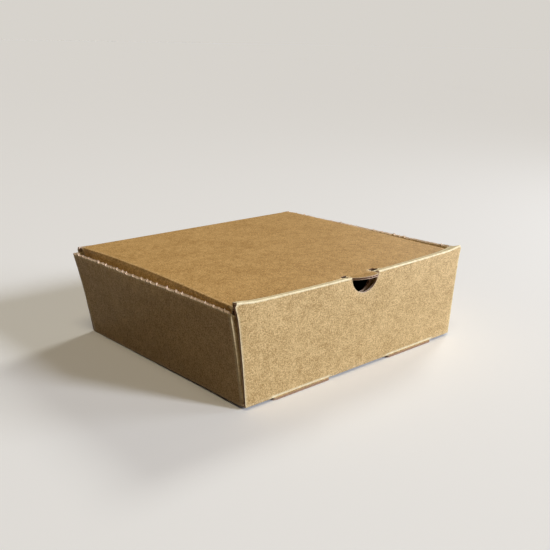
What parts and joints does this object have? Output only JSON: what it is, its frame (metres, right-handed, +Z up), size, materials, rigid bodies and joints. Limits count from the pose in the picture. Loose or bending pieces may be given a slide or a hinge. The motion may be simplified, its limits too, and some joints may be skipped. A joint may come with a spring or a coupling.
{
  "type": "chip box",
  "caption": "Folded kraft corrugated takeaway box with tapered walls, a rolled locking front, a finger notch and a hinged tuck-in lid with a thumb tab.",
  "frame": {"origin": "middle of the bottom panel, on the surface that the box stands on", "axes": "+Z up, +X to the right along the front panel, the locking front faces -Y"},
  "size_m": [0.1978, 0.1739, 0.06],
  "materials": {
    "kraft_tray": "plain brown kraft liner, fine fibre speckle, matt",
    "kraft_lid": "plain brown kraft liner, fine fibre speckle, matt"
  },
  "bodies": {
    "tray": {"tray": "kraft_tray"},
    "lid": {"lid": "kraft_lid"}
  },
  "joints": [
    {"name": "lid_hinge", "type": "hinge", "parent": "tray", "child": "lid", "pos_m": [0, 0.08628, 0.0578], "axis": [-1, 0, 0], "range_deg": [0, 195]}
  ]
}
